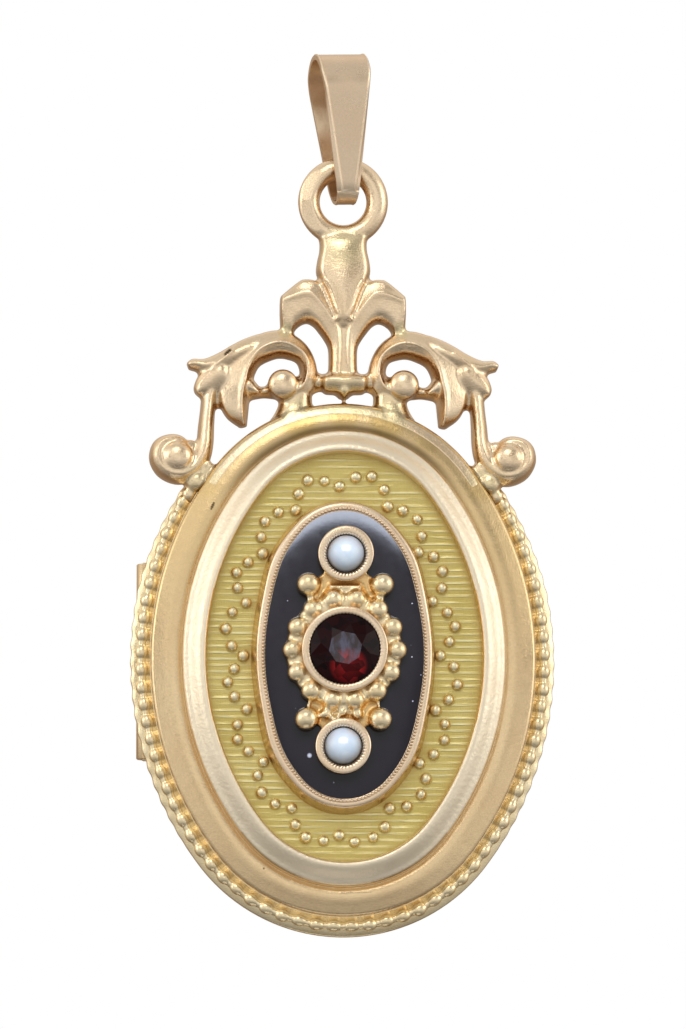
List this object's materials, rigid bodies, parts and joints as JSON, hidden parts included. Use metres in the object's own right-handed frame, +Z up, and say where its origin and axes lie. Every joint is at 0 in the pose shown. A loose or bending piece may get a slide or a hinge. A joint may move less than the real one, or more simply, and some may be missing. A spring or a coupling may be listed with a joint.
{
  "type": "photo locket",
  "caption": "Oval photo locket with a hinged back, pierced scroll crest and ring, beaded rim, granulated panel, black oval plaque, round faceted stone, two half pearls and a tapered strap bail.",
  "frame": {"origin": "inside top of the strap bail, where the chain runs", "axes": "front faces -Y, +X to the right, +Z up"},
  "size_m": [0.0234, 0.0075, 0.0489],
  "materials": {
    "rose_gold": "polished pinkish-yellow gold",
    "green_gold": "engine-turned greenish gold",
    "onyx": "polished black stone",
    "garnet": "faceted dark red stone",
    "pearl": "lustrous white"
  },
  "bodies": {
    "bail": {"bail": "rose_gold"},
    "front": {"front_case": "rose_gold", "panel": "green_gold", "onyx_plaque": "onyx", "gem_mount": "rose_gold", "garnet": "garnet", "pearl_upper": "pearl", "pearl_lower": "pearl", "hinge_pin": "rose_gold"},
    "back": {"back_case": "rose_gold"}
  },
  "joints": [
    {"name": "bail_swing", "type": "hinge", "parent": "bail", "child": "front", "pos_m": [0, 0, -0.00588], "axis": [1, 0, 0], "range_deg": [-45, 45]},
    {"name": "case_hinge", "type": "hinge", "parent": "front", "child": "back", "pos_m": [-0.01075, 0.00145, -0.03322], "axis": [0, 0, 1], "range_deg": [0, 150]}
  ]
}
